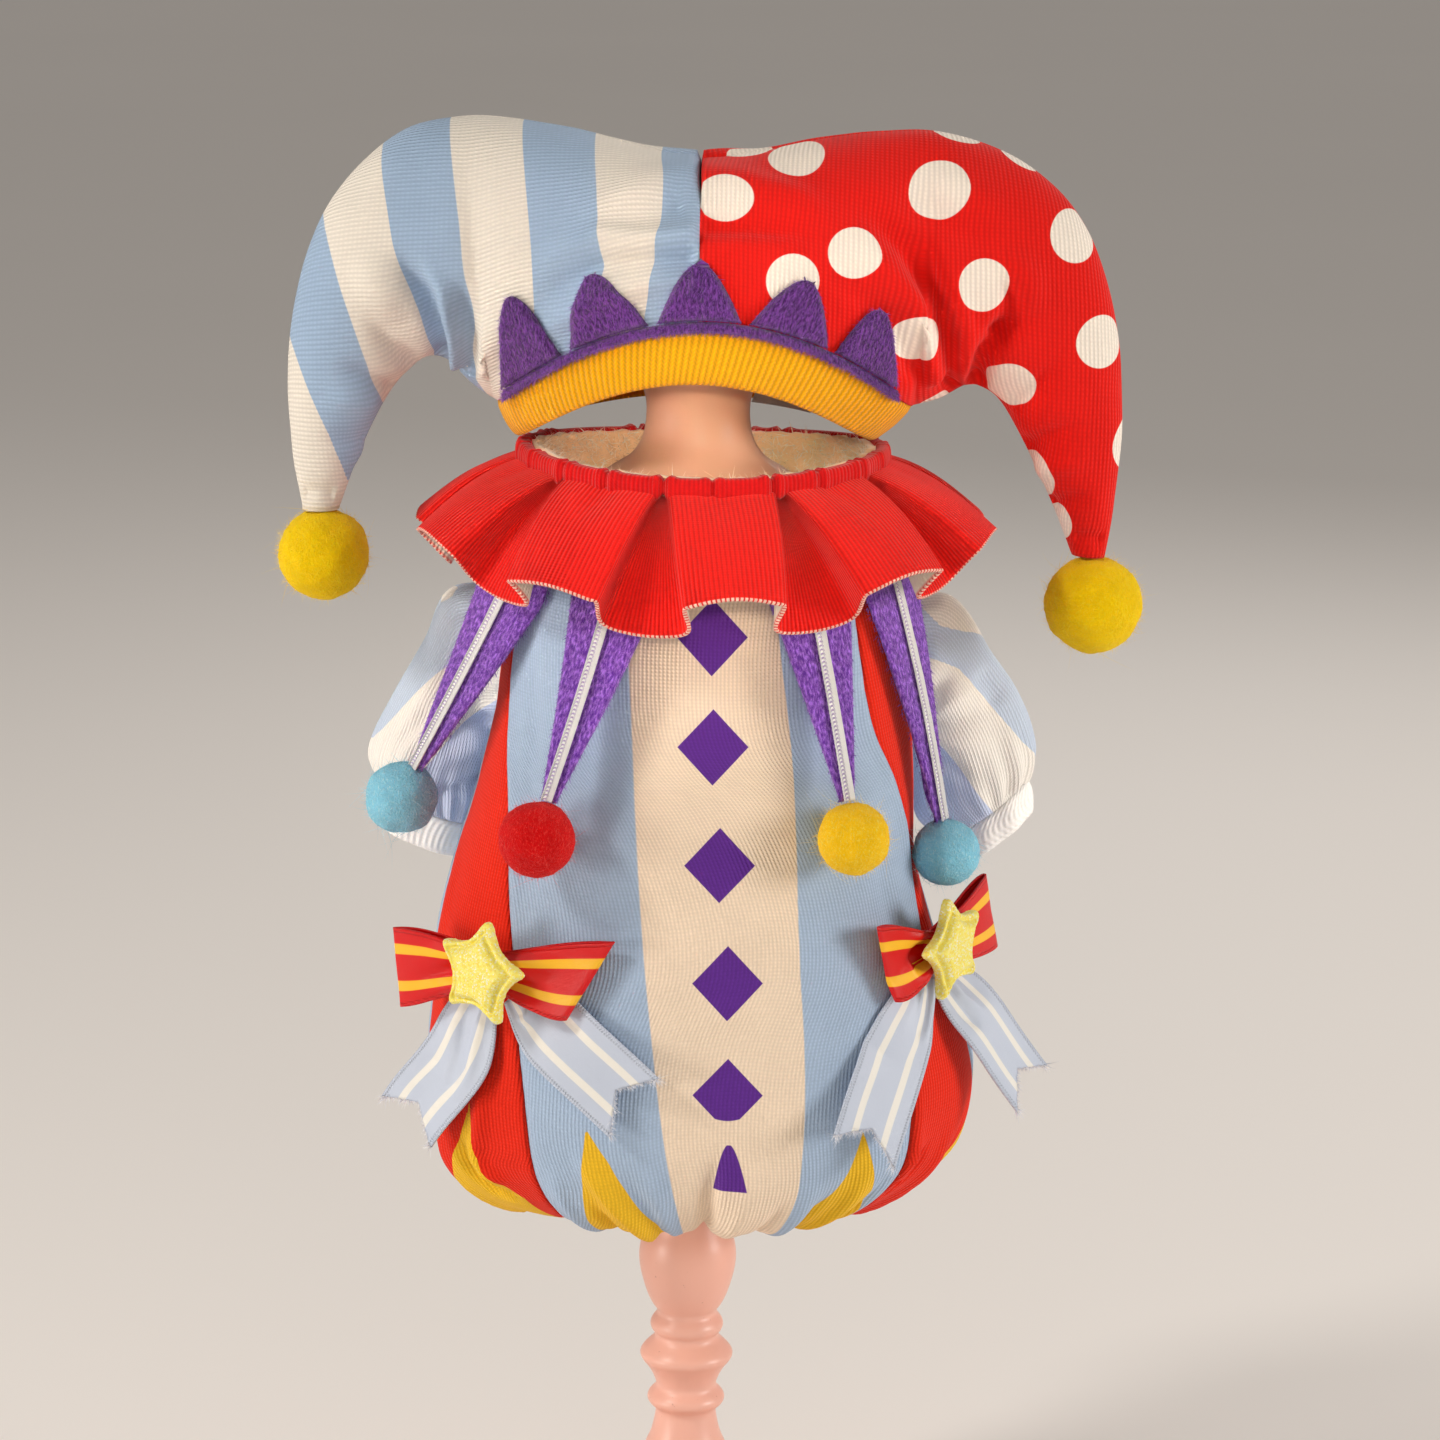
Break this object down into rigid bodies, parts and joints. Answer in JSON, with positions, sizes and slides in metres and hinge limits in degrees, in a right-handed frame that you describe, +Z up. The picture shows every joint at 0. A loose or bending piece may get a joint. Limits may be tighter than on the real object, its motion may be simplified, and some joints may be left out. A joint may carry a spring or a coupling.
{
  "type": "pet clown costume on a dress form stand",
  "caption": "Puffed striped pet garment with ruff, plush points, pompoms, bows and a horned jester hat, on a limbless form on a turned post.",
  "frame": {"origin": "centre of the underside of the round foot", "axes": "+Z up along the post, -Y towards the viewer and the side that lies on the wearer's back, +X to the viewer's right"},
  "size_m": [0.2678, 0.1667, 0.4871],
  "materials": {
    "light_blue": "brushed knit, light blue with cream stripes",
    "red_knit": "brushed knit, red",
    "cream": "cream fleece and rib",
    "purple_plush": "short plush",
    "yellow_rib": "rib knit",
    "yellow_felt": "wool pompom",
    "orange_felt": "wool pompom",
    "blue_felt": "wool pompom",
    "red_felt": "wool pompom",
    "white_braid": "woven braid",
    "red_satin": "satin ribbon",
    "blue_satin": "satin ribbon",
    "glitter": "padded glitter cloth",
    "pink_paint": "satin paint",
    "peach_form": "smooth, satin"
  },
  "bodies": {
    "root": {"body_back": "light_blue", "body_front": "light_blue", "body_side_left": "red_knit", "body_side_right": "red_knit", "bow_left_loop_left": "red_satin", "bow_left_loop_right": "red_satin", "bow_left_star": "glitter", "bow_left_tail_left": "blue_satin", "bow_left_tail_right": "blue_satin", "bow_right_loop_left": "red_satin", "bow_right_loop_right": "red_satin", "bow_right_star": "glitter", "bow_right_tail_left": "blue_satin", "bow_right_tail_right": "blue_satin", "braid_1": "white_braid", "braid_2": "white_braid", "braid_3": "white_braid", "braid_4": "white_braid", "crown_band": "purple_plush", "crown_point_1": "purple_plush", "crown_point_2": "purple_plush", "crown_point_3": "purple_plush", "crown_point_4": "purple_plush", "crown_point_5": "purple_plush", "dress_form": "peach_form", "fleece_lining": "cream", "hat_cuff": "yellow_rib", "hat_left_back": "light_blue", "hat_left_front": "light_blue", "hat_pompom_left": "yellow_felt", "hat_pompom_right": "yellow_felt", "hat_right_back": "red_knit", "hat_right_front": "red_knit", "hat_tape": "cream", "neckband": "red_knit", "pompom_1": "blue_felt", "pompom_2": "red_felt", "pompom_3": "orange_felt", "pompom_4": "blue_felt", "ruff": "red_knit", "sleeve_cuff_left": "cream", "sleeve_cuff_right": "cream", "sleeve_left": "light_blue", "sleeve_right": "light_blue", "spike_1": "purple_plush", "spike_2": "purple_plush", "spike_3": "purple_plush", "spike_4": "purple_plush", "stand_base": "pink_paint", "stand_post": "pink_paint"}
  },
  "joints": []
}
